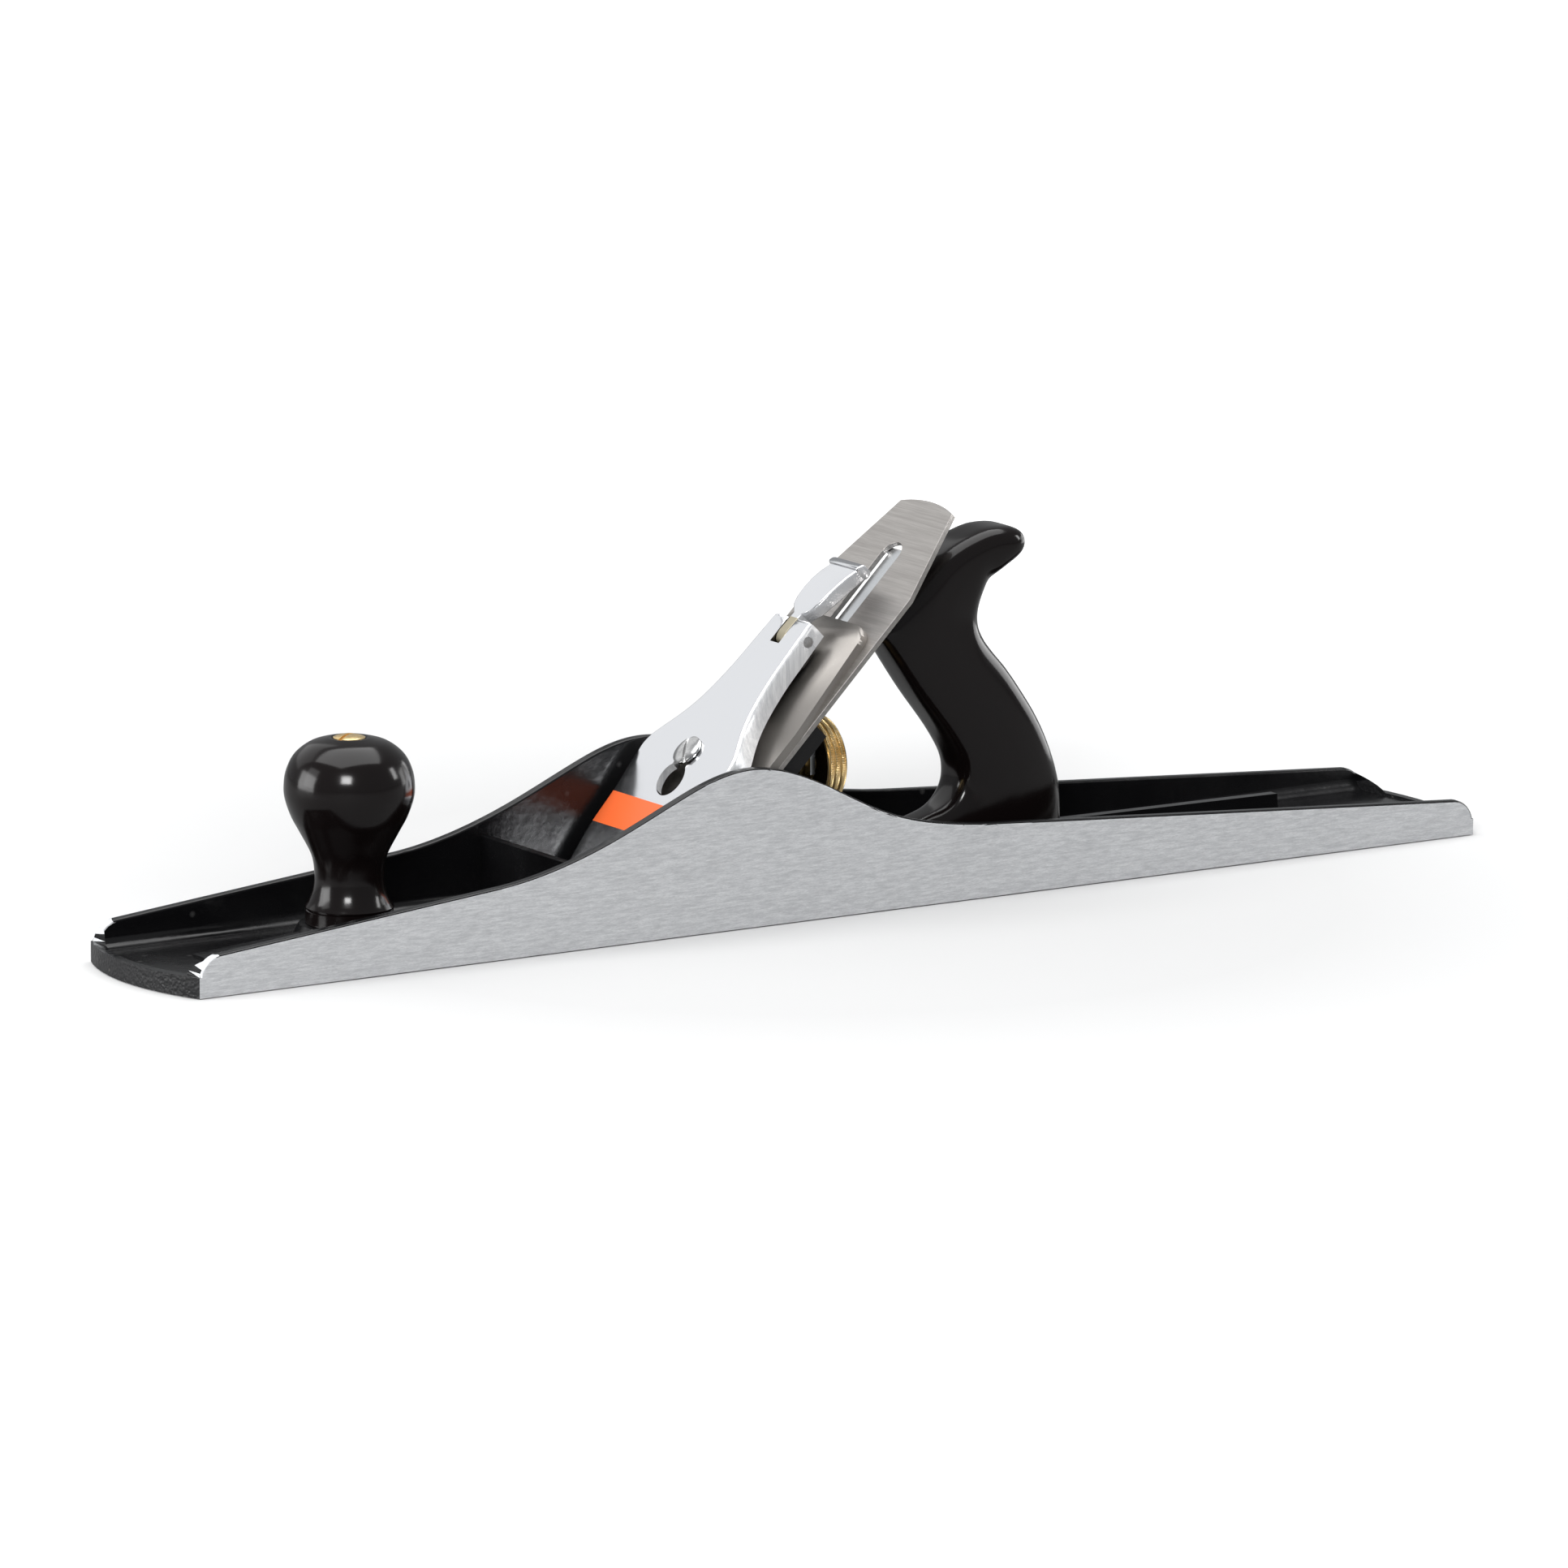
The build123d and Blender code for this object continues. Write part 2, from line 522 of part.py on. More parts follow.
def cap_iron():
    """Sheet on top of the iron with a hump behind its tip and slots for screw and yoke."""
    t = CAP_IRON_THICK
    top = Spline((1.7, 0.25), (4.5, 2.9), (9, 4.5), (14, 4.8), (21, 4.0), (29, t), tangents=[(1, 1), (1, 0)])
    base = Spline((29, 0), (22, 1.0), (14, 1.9), (8, 1.5), (3.0, 0), tangents=[(-1, 0), (-1, -1)])
    end = Polyline((29, t), (CAP_IRON_END_U, t), (CAP_IRON_END_U, 0), (29, 0))
    tip = Polyline((3.0, 0), (1.7, 0), (1.7, 0.25))
    cap = extrude(make_face(Plane.XZ * Curve([top, end, base, tip])), IRON_HALF, both=True)
    right = [(-1, IRON_HALF), (CAP_IRON_TAPER_U, IRON_HALF), (CAP_IRON_END_U, CAP_IRON_END_HALF)]
    plan = make_face(Polyline(*(right + [(u, -v) for u, v in reversed(right)]), close=True))
    cap &= Pos(0, 0, -1) * extrude(plan, 10)
    corner = cap.edges().filter_by(Axis.Z).group_by(Axis.X)[-1]
    cap = fillet(corner, 8)
    cap -= rod_z(2.6, -1, 6, CAP_SCREW_U)
    cap -= slot_z(4.6, 59.5, 71.6, -1, 6)
    cap -= block((YOKE_TIP_U - 2.9, YOKE_TIP_U + 2.9), (-4.5, 4.5), (-1, 6))
    return on_bed(cap)


def cap_iron_screw():
    head = rod_z(9.0, -5.2, BED_W, CAP_SCREW_U)
    head -= block((CAP_SCREW_U - 10, CAP_SCREW_U + 10), (-0.8, 0.8), (-6, -4.0))
    neck = rod_z(4.4, BED_W - 0.1, -0.05, CAP_SCREW_U)
    return on_bed(head + neck + rod_z(2.58, -0.1, CAP_IRON_THICK, CAP_SCREW_U))


def lever_cap_screw():
    head = Pos(0, 0, CAP_TOP_W + 0.3) * slotted_nut(6.0, 1.0, 1.0, 0.4)
    shank = rod_z(FROG_SCREW_R, -9.8, CAP_TOP_W + 0.8)
    return on_bed(Pos(LEVER_SCREW_U, 0, 0) * Rot(0, 0, 35) * (head + shank))


# ---- lever cap ----
def cap_plan(inset):
    """Plan outline of the lever cap: wide foot, concave shoulders, narrow end."""
    half = CAP_HALF - inset
    end = CAP_END_HALF - inset
    wide = 64.0
    side = [(wide, half), (71, 27.4 - inset), (78.5, 22.6 - inset), (91, 17.0 - inset)]
    side += [(104.6, 14.2 - inset), (CAP_END_U, end)]
    foot = CAP_FOOT_U + inset
    shoulder = Spline(*side, tangents=[(1, 0), (1, -0.09)])
    edges = [Line((foot, half), (wide, half)), shoulder, Line((CAP_END_U, end), (CAP_END_U, -end))]
    edges += [mirror(shoulder, Plane.XZ), Line((wide, -half), (foot, -half))]
    edges += [Line((foot, -half), (foot, half))]
    return make_face(Curve(edges))


def cap_side(drop):
    """Side outline under the top surface, lowered by drop."""
    top = [(CAP_FOOT_U, 7.6 - drop), (18, 10.4 - drop), (31, 12.4 - drop), (45, 13.4 - drop)]
    top += [(60, CAP_TOP_W - 0.4 - drop), (80, CAP_TOP_W - drop), (CAP_END_U + 3, CAP_TOP_W - drop)]
    surface = Spline(*top, tangents=[(1, 0.35), (1, 0)])
    rest = Polyline(top[-1], (CAP_END_U + 3, -8), (CAP_FOOT_U, -8), top[0])
    return make_face(Plane.XZ * Curve([surface, rest]))


def cap_rim():
    """Everything under the lower rim of the side walls."""
    points = [(0, -9), (140, -9), (140, 8.0), (104, 8.0), (60, 7.4), (30, 6.2), (CAP_FOOT_U, 5.0), (0, 5.0)]
    return side_plate(points, 40)


def lever_cap():
    outer = extrude(cap_plan(0), 20) & extrude(cap_side(0), 40, both=True)
    rim = [edge for edge in outer.edges() if edge.bounding_box().min.Z > 7.3]
    outer = fillet([edge for edge in rim if abs(edge.center().Y) > 5], CAP_ROUND)
    inner = extrude(cap_plan(CAP_WALL), 20) & extrude(cap_side(CAP_WALL), 40, both=True)
    cap = outer - inner - cap_rim()
    cap += block((119.5, CAP_END_U), (-11.0, 11.0), (8.6, CAP_TOP_W - 0.2))
    cap -= block((118.0, CAP_END_U + 1), (-8.4, 8.4), (0, CAP_TOP_W - CAP_WALL))
    cap -= block((CAP_NOTCH_U, CAP_END_U + 1), (-CAP_NOTCH_HALF, CAP_NOTCH_HALF), (0, 30))
    cap -= rod_z(7.0, 0, 30, 55)
    cap -= slot_z(4.25, 52, LEVER_SCREW_U + 4.25, 0, 30)
    cap -= rod_y(CAM_PIN_R + SEATED, 20, CAM_PIN_U, CAM_PIN_W)
    cap -= rod_z(1.2, CAP_TOP_W - CAP_WALL - 1, CAP_TOP_W - 1.2, SPRING_RIVET_U)
    return on_bed(cap)


def cam_pin():
    return on_bed(rod_y(CAM_PIN_R, 12.5, CAM_PIN_U, CAM_PIN_W))


def cam_lever():
    """Thumb lever: narrow cam in the notch, then a broad paddle with a flared lip."""
    cam = rod_y(4.3, 2.5, CAM_PIN_U, CAM_PIN_W)
    neck = [(CAM_PIN_U, 8.2), (132, 9.4), (135, 10.6), (135, 15.3), (130, 15.7), (CAM_PIN_U, 15.9)]
    cam += side_plate(neck, 2.5)
    tail = [(130.6, 9.0), (142, 7.6), (156, 6.0), (160, 6.8), (160, 8.6), (157.4, 10.8), (156, 12.2)]
    tail += [(150, 14.4), (142, 15.5), (135, 15.5), (130.6, 15.2)]
    plan = [(130.6, 2.4), (132.8, 2.5), (134, 3.8), (135.6, 6.0), (138.5, 7.4), (143, 8.6), (150, 9.0)]
    plan += [(156.2, 8.8), (157.6, 10.0), (160, 10.0)]
    outline = Polyline(*(plan + [(u, -v) for u, v in reversed(plan)]), close=True)
    paddle = extrude(make_face(outline), 20) & side_plate(tail, 20)
    paddle -= side_plate([(138, 0), (154.5, 0), (154.5, 9.6), (143, 11.6), (138, 10.6)], 5.6)
    return on_bed(cam + paddle - rod_y(CAM_PIN_R + RUNNING, 20, CAM_PIN_U, CAM_PIN_W))


def cap_spring():
    """Leaf spring under the cap, riveted at one end and pressed by the cam."""
    line = [(99, 12.3), (103, 12.3), (107, 11.05), (112, 7.4), (118, 4.9), (124, 5.6), (127.5, 6.2)]
    top = Spline(*line)
    low = Spline(*[(u, w - 0.8) for u, w in reversed(line)])
    tail = Line(line[-1], (line[-1][0], line[-1][1] - 0.8))
    head = Line((line[0][0], line[0][1] - 0.8), line[0])
    leaf = extrude(make_face(Plane.XZ * Curve([top, tail, low, head])), SPRING_HALF, both=True)
    return on_bed(leaf - rod_z(1.25, 8, 14, SPRING_RIVET_U))


def spring_rivet():
    shank = rod_z(1.18, 11.0, CAP_TOP_W - 1.4, SPRING_RIVET_U)
    return on_bed(shank + rod_z(1.9, 10.0, 11.1, SPRING_RIVET_U))


PIECES = [body_casting, front_knob, knob_stud, knob_nut, tote, tote_rod, tote_nut, tote_toe_screw]
PIECES += [frog, frog_screws, frog_washers, frog_adjusting_screw, frog_clip, frog_clip_screw]
PIECES += [depth_wheel, adjuster_stud, yoke_lever, yoke_pin]
PIECES += [lateral_lever, lateral_pivot_rivet, lateral_roller]
PIECES += [cutting_iron, cap_iron, cap_iron_screw, lever_cap_screw]
PIECES += [lever_cap, cam_pin, cam_lever, cap_spring, spring_rivet]


def main():
    os.makedirs("parts", exist_ok=True)
    for piece in PIECES:
        solid = piece()
        export_step(solid, f"parts/{piece.__name__}.step")
        print(piece.__name__, round(solid.volume, 1))


main()
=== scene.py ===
# %% [markdown]
# # A long bench plane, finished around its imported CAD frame
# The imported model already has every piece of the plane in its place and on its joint. This lesson gives
# those pieces their real edges and finishes: ground and enamelled iron, moulded plastic, chrome, brass
# and brushed steel. Nothing is moved: every new piece is drawn where the frame says it is.

# %% Load the frame
import json
import math

import bmesh
import bpy
from mathutils import Matrix, Vector


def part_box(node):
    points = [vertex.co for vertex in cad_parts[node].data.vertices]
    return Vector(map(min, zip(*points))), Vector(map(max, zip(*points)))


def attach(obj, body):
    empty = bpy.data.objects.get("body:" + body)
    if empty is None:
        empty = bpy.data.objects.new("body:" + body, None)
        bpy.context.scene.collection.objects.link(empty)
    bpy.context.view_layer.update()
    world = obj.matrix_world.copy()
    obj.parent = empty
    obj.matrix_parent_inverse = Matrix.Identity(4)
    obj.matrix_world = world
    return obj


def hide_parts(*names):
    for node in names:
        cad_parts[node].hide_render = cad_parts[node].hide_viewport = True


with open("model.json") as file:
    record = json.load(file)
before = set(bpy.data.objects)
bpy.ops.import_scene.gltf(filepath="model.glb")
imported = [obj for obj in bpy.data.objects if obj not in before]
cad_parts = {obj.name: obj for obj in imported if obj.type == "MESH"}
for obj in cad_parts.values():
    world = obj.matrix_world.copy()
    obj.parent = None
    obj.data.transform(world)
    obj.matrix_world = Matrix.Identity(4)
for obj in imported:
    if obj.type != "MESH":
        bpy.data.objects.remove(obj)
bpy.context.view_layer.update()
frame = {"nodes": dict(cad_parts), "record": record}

MM = 0.001

# %% [markdown]
# ## Places
# The iron lies at 45 degrees, so a small helper turns (u, v, w), measured up the iron, across it
# and off its face, into the frame.

# %% Places on the sloping bed
SLOPE = math.sqrt(0.5)
EDGE_X = -80.2 * MM                      # where the iron's upper face meets the sole


def on_bed(u, v, w):
    """A point u mm up the iron, v mm across and w mm off its upper face."""
    return Vector((EDGE_X + (u - w) * SLOPE * MM, v * MM, (u + w) * SLOPE * MM))


BED = Matrix(((SLOPE, 0, -SLOPE, EDGE_X), (0, 1, 0, 0), (SLOPE, 0, SLOPE, 0), (0, 0, 0, 1)))
print("iron's top corner:", [round(c, 4) for c in on_bed(198, 0, 0)])

# %% [markdown]
# ## The camera, the floor and the light
# A long lens a few metres away keeps the long sole almost free of perspective. The floor is a pale
# sheet that turns to glowing white further out, and the camera sees a white world behind it, so they
# meet without a line. Reflections see a dim grey world instead, which keeps the black pieces black.
# Large soft panels give the black and the chrome something to mirror, and a low card at each end
# lights the ends without being seen. Lamps without size would give hard spots, so area lamps were
# chosen.

# %% Camera
TARGET = Vector((-3.1, 0.0, 42.15)) * MM
DISTANCE = 5876.2 * MM
AZIMUTH = math.radians(-32.8965)
ELEVATION = math.radians(11.365)
ROLL = math.radians(0.1931)
LENS = 372.67

camera = bpy.data.objects.new("camera", bpy.data.cameras.new("camera"))
bpy.context.scene.collection.objects.link(camera)
back = Vector((math.sin(AZIMUTH) * math.cos(ELEVATION), -math.cos(AZIMUTH) * math.cos(ELEVATION),
               math.sin(ELEVATION)))
right = Vector((math.cos(AZIMUTH), math.sin(AZIMUTH), 0))
up = back.cross(right)
right, up = right * math.cos(ROLL) + up * math.sin(ROLL), up * math.cos(ROLL) - right * math.sin(ROLL)
turn = Matrix((right, up, back)).transposed().to_4x4()
camera.matrix_world = Matrix.Translation(TARGET + back * DISTANCE) @ turn
camera.data.sensor_width = 36
camera.data.lens = LENS
camera.data.clip_end = 100
bpy.context.scene.camera = camera
print("camera at", [round(c, 3) for c in camera.location])

# %% Soft panels


def soft_panel(name, place, size, watts, aim=(0, 0, 0.05)):
    """A rectangular area lamp at place, turned to face aim."""
    lamp = bpy.data.lights.new(name, "AREA")
    lamp.shape = "RECTANGLE"
    lamp.size, lamp.size_y = size
    lamp.energy = watts
    obj = bpy.data.objects.new(name, lamp)
    obj.location = place
    obj.rotation_euler = (Vector(aim) - Vector(place)).to_track_quat("-Z", "Y").to_euler()
    bpy.context.scene.collection.objects.link(obj)
    return obj


soft_panel("panel_top", (0.0, 0.2, 3.0), (4.0, 3.2), 110)
soft_panel("panel_back", (-0.5, 2.4, 1.6), (2.6, 1.6), 8)
soft_panel("panel_key", (-1.3, -1.5, 1.0), (0.6, 0.5), 24)
soft_panel("panel_left", (-2.0, 0.6, 0.7), (0.8, 1.2), 5)
soft_panel("panel_right", (1.6, -0.9, 0.8), (0.3, 0.6), 5)
low_right = soft_panel("card_right", (0.72, 0.02, 0.17), (0.5, 0.32), 1.6, aim=(0.1, 0, 0.1))
low_left = soft_panel("card_left", (-0.75, 0.25, 0.17), (0.4, 0.3), 2.0, aim=(-0.1, 0, 0.1))
low_right.visible_camera = False
low_left.visible_camera = False
print("lamps:", len(bpy.data.lights))

# %% World and floor
FLOOR_GAP = 0.4 * MM                     # the sole hovers, so the two faces never coincide

world = bpy.data.worlds.new("studio")
bpy.context.scene.world = world
world.use_nodes = True
sky = world.node_tree
for old in list(sky.nodes):
    sky.nodes.remove(old)
sky_out = sky.nodes.new("ShaderNodeOutputWorld")
sky_mix = sky.nodes.new("ShaderNodeMixShader")
sky_ray = sky.nodes.new("ShaderNodeLightPath")
sky_seen = sky.nodes.new("ShaderNodeBackground")
sky_lit = sky.nodes.new("ShaderNodeBackground")
sky_seen.inputs["Color"].default_value = (1, 1, 1, 1)
sky_seen.inputs["Strength"].default_value = 1.1
sky_lit.inputs["Color"].default_value = (0.96, 0.98, 1, 1)
sky_lit.inputs["Strength"].default_value = 0.3
sky.links.new(sky_ray.outputs["Is Camera Ray"], sky_mix.inputs["Fac"])
sky.links.new(sky_lit.outputs["Background"], sky_mix.inputs[1])
sky.links.new(sky_seen.outputs["Background"], sky_mix.inputs[2])
sky.links.new(sky_mix.outputs["Shader"], sky_out.inputs["Surface"])
bpy.context.scene.view_settings.view_transform = "Standard"

floor_form = bmesh.new()
bmesh.ops.create_grid(floor_form, x_segments=8, y_segments=8, size=12.0)
floor_mesh = bpy.data.meshes.new("floor")
floor_form.to_mesh(floor_mesh)
floor_form.free()
floor = bpy.data.objects.new("floor", floor_mesh)
floor.location.z = -FLOOR_GAP
bpy.context.scene.collection.objects.link(floor)
print("floor laid, world set")

# %% [markdown]
# ## Shader groups
# Three effects are used by several finishes. `streaks` makes the fine lines that grinding and
# brushing leave, by stretching noise along one axis. `grain` makes the even pebbled skin of a casting
# or of sand-blasted steel. `handling` is the faint cloudy change of gloss that every touched surface
# has. Each is a node group with named sockets, so a finish only sets its own sizes. Painted image
# maps were the other choice, but noise on Object coordinates needs no unwrapping.

# %% Group helpers


def start_group(name, inputs, outputs):
    """An empty shader group: inputs are (name, default), outputs are (name, socket type)."""
    group = bpy.data.node_groups.new(name, "ShaderNodeTree")
    for label, value in inputs:
        kind = "NodeSocketVector" if isinstance(value, tuple) else "NodeSocketFloat"
        socket = group.interface.new_socket(label, in_out="INPUT", socket_type=kind)
        socket.default_value = value
    for label, kind in outputs:
        group.interface.new_socket(label, in_out="OUTPUT", socket_type=kind)
    return group, group.nodes.new("NodeGroupInput"), group.nodes.new("NodeGroupOutput")


def add(tree, kind, **values):
    """A node with some of its plain properties and sockets set."""
    node = tree.nodes.new(kind)
    for label, value in values.items():
        if hasattr(node, label):
            setattr(node, label, value)
        else:
            node.inputs[label.replace("_", " ").title()].default_value = value
    return node


def scaled_place(tree, source, socket):
    """Object coordinates times a vector, so that a pattern can be stretched along an axis."""
    coords = tree.nodes.new("ShaderNodeTexCoord")
    scale = add(tree, "ShaderNodeVectorMath", operation="MULTIPLY")
    tree.links.new(coords.outputs["Object"], scale.inputs[0])
    tree.links.new(source.outputs[socket], scale.inputs[1])
    return scale.outputs[0]


# %% streaks


def make_streaks():
    """Fine lines: two stretched noises multiplied, so that lines start and stop."""
    group, source, result = start_group("streaks", [("Stretch", (30.0, 4000.0, 4000.0))],
                                        [("Lines", "NodeSocketFloat")])
    place = scaled_place(group, source, "Stretch")
    fine = add(group, "ShaderNodeTexNoise", scale=1.0, detail=3.0, roughness=0.6)
    wide = add(group, "ShaderNodeTexNoise", scale=0.23, detail=2.0, roughness=0.5)
    mix = add(group, "ShaderNodeMath", operation="MULTIPLY")
    spread = add(group, "ShaderNodeMapRange")
    spread.inputs["From Min"].default_value = 0.12
    spread.inputs["From Max"].default_value = 0.40
    for noise in (fine, wide):
        group.links.new(place, noise.inputs["Vector"])
    group.links.new(fine.outputs["Fac"], mix.inputs[0])
    group.links.new(wide.outputs["Fac"], mix.inputs[1])
    group.links.new(mix.outputs[0], spread.inputs["Value"])
    group.links.new(spread.outputs["Result"], result.inputs["Lines"])
    return group


STREAKS = make_streaks()
print("group", STREAKS.name, "made")

# %% grain


def make_grain():
    """Pebbled skin: cells of random height, softened by noise, and a separate mask of a few specks."""
    group, source, result = start_group("grain", [("Stretch", (900.0, 900.0, 900.0))],
                                        [("Height", "NodeSocketFloat"), ("Specks", "NodeSocketFloat")])
    place = scaled_place(group, source, "Stretch")
    cells = add(group, "ShaderNodeTexVoronoi", feature="SMOOTH_F1", scale=1.0)
    soft = add(group, "ShaderNodeTexNoise", scale=0.6, detail=3.0, roughness=0.55)
    mix = add(group, "ShaderNodeMath", operation="ADD")
    dots = add(group, "ShaderNodeTexVoronoi", feature="F1", scale=0.16)
    near = add(group, "ShaderNodeMapRange")
    near.inputs["From Min"].default_value = 0.10
    near.inputs["From Max"].default_value = 0.04
    for noise in (cells, soft, dots):
        group.links.new(place, noise.inputs["Vector"])
    group.links.new(cells.outputs["Distance"], mix.inputs[0])
    group.links.new(soft.outputs["Fac"], mix.inputs[1])
    group.links.new(mix.outputs[0], result.inputs["Height"])
    group.links.new(dots.outputs["Distance"], near.inputs["Value"])
    group.links.new(near.outputs["Result"], result.inputs["Specks"])
    return group


GRAIN = make_grain()
print("group", GRAIN.name, "made")

# %% handling


def make_handling():
    """Cloudy change of gloss between a low and a high roughness."""
    group, source, result = start_group("handling", [("Stretch", (35.0, 35.0, 35.0)), ("Low", 0.1),
                                                     ("High", 0.2)], [("Roughness", "NodeSocketFloat")])
    place = scaled_place(group, source, "Stretch")
    cloud = add(group, "ShaderNodeTexNoise", scale=1.0, detail=4.0, roughness=0.6)
    spread = add(group, "ShaderNodeMapRange")
    spread.inputs["From Min"].default_value = 0.35
    spread.inputs["From Max"].default_value = 0.68
    group.links.new(place, cloud.inputs["Vector"])
    group.links.new(cloud.outputs["Fac"], spread.inputs["Value"])
    group.links.new(source.outputs["Low"], spread.inputs["To Min"])
    group.links.new(source.outputs["High"], spread.inputs["To Max"])
    group.links.new(spread.outputs["Result"], result.inputs["Roughness"])
    return group


HANDLING = make_handling()
print("group", HANDLING.name, "made")

# %% [markdown]
# ## Finishes
# A finish is one Principled shader. Its uniform values sit on the shader's own sockets. Only what
# changes over the surface is linked: two tones mixed by a mask, a gloss, and a bump. One function
# makes them all, because the metals and the plastics differ only in which mask drives them.

# %% One function for every finish


def finish(name, dark, light, metallic, gloss, mask, stretch, bump=0.0, depth=0.00002, specular=0.5):
    """A Principled material: two tones mixed by a group's mask, cloudy gloss and a bump."""
    material = bpy.data.materials.new(name)
    material.use_nodes = True
    tree = material.node_tree
    shader = tree.nodes["Principled BSDF"]
    shader.inputs["Metallic"].default_value = metallic
    shader.inputs["Specular IOR Level"].default_value = specular
    wear = add(tree, "ShaderNodeGroup", node_tree=HANDLING)
    wear.inputs["Low"].default_value, wear.inputs["High"].default_value = gloss
    tree.links.new(wear.outputs["Roughness"], shader.inputs["Roughness"])
    pattern = add(tree, "ShaderNodeGroup", node_tree=mask)
    pattern.inputs["Stretch"].default_value = stretch
    tones = add(tree, "ShaderNodeMix", data_type="RGBA")
    tones.inputs[6].default_value = (*dark, 1)
    tones.inputs[7].default_value = (*light, 1)
    tree.links.new(pattern.outputs[-1], tones.inputs[0])
    tree.links.new(tones.outputs[2], shader.inputs["Base Color"])
    if bump:
        relief = add(tree, "ShaderNodeBump", strength=bump, distance=depth)
        tree.links.new(pattern.outputs[0], relief.inputs["Height"])
        tree.links.new(relief.outputs["Normal"], shader.inputs["Normal"])
    return material


# %% [markdown]
# The ground sides and sole are dull silver with short lines along the sole. The rest of the casting is
# black enamel: glossy, slightly pebbled, with dust specks. Both could be one material with a mask, but
# two materials on their own faces keep a crisp paint line.

# %% Iron and enamel
ground_iron = finish("ground_iron", (0.56, 0.57, 0.585), (0.80, 0.81, 0.825), 0.3, (0.40, 0.5), STREAKS,
                     (900.0, 6500.0, 6500.0), bump=0.2, specular=0.4)
black_enamel = finish("black_enamel", (0.004, 0.004, 0.0045), (0.04, 0.04, 0.04), 0.0, (0.16, 0.30),
                      GRAIN, (420.0, 420.0, 420.0), bump=0.25, depth=0.0002, specular=0.4)
raw_end = finish("raw_end", (0.008, 0.008, 0.009), (0.09, 0.085, 0.08), 0.1, (0.35, 0.6), GRAIN,
                 (900.0, 900.0, 900.0), bump=0.8, depth=0.0003)
print("casting finishes made")

# %% Plastic, chrome and steels
black_plastic = finish("black_plastic", (0.0045, 0.003, 0.003), (0.007, 0.0045, 0.0045), 0.0, (0.13, 0.19),
                       GRAIN, (300.0, 300.0, 300.0), bump=0.02, depth=0.00005, specular=0.34)
chrome = finish("chrome", (0.84, 0.85, 0.875), (0.87, 0.88, 0.905), 1.0, (0.12, 0.2), GRAIN,
                (40.0, 40.0, 40.0))
cast_chrome = finish("cast_chrome", (0.62, 0.63, 0.65), (0.95, 0.955, 0.96), 0.5, (0.16, 0.3), GRAIN,
                     (1400.0, 1400.0, 1400.0), bump=0.45, depth=0.0002)
brushed_chrome = finish("brushed_chrome", (0.66, 0.67, 0.69), (0.95, 0.955, 0.96), 0.35, (0.2, 0.3),
                        STREAKS, (3000.0, 3000.0, 60.0), bump=0.25, depth=0.00002)
iron_steel = finish("iron_steel", (0.36, 0.34, 0.325), (0.48, 0.46, 0.44), 0.9, (0.30, 0.38), STREAKS,
                    (3200.0, 90.0, 3200.0), bump=0.15, depth=0.00002)
satin_steel = finish("satin_steel", (0.34, 0.32, 0.30), (0.47, 0.45, 0.43), 0.9, (0.34, 0.42), GRAIN,
                     (3000.0, 3000.0, 3000.0), bump=0.3, depth=0.00003)
zinc = finish("zinc", (0.62, 0.64, 0.66), (0.80, 0.81, 0.82), 1.0, (0.2, 0.32), GRAIN,
              (500.0, 500.0, 500.0), bump=0.05, depth=0.00005)
bright_steel = finish("bright_steel", (0.50, 0.50, 0.50), (0.72, 0.72, 0.72), 1.0, (0.14, 0.24),
                      STREAKS, (1500.0, 1500.0, 1500.0), bump=0.1, depth=0.00001)
worn_nickel = finish("worn_nickel", (0.42, 0.38, 0.28), (0.74, 0.69, 0.56), 0.7, (0.3, 0.45), GRAIN,
                     (900.0, 900.0, 900.0), bump=0.1)
# Dark blued steel for the cap spring, also laid on the walls inside the lever cap's notch as painted shade.
spring_steel = finish("spring_steel", (0.10, 0.095, 0.09), (0.22, 0.21, 0.20), 1.0, (0.22, 0.34),
                      STREAKS, (60.0, 1800.0, 60.0), bump=0.1, depth=0.00001)
brass = finish("brass", (0.70, 0.50, 0.22), (0.95, 0.74, 0.40), 0.85, (0.2, 0.3), STREAKS,
               (900.0, 900.0, 900.0), bump=0.05, depth=0.00001)
# Painted shade: a darkened brass for the wheel's recessed front face, standing in for the shade that falls
# there.
painted_shade_brass = finish("painted_shade_brass", (0.05, 0.035, 0.02), (0.16, 0.11, 0.05), 0.9, (0.2, 0.4), GRAIN,
                    (500.0, 500.0, 500.0), bump=0.1, depth=0.00005)
orange_paint = finish("orange_paint", (0.78, 0.13, 0.03), (0.86, 0.17, 0.045), 0.0, (0.3, 0.42), GRAIN,
                      (600.0, 600.0, 600.0), bump=0.08, depth=0.00005)
print("small finishes made")

# %% Floor paint


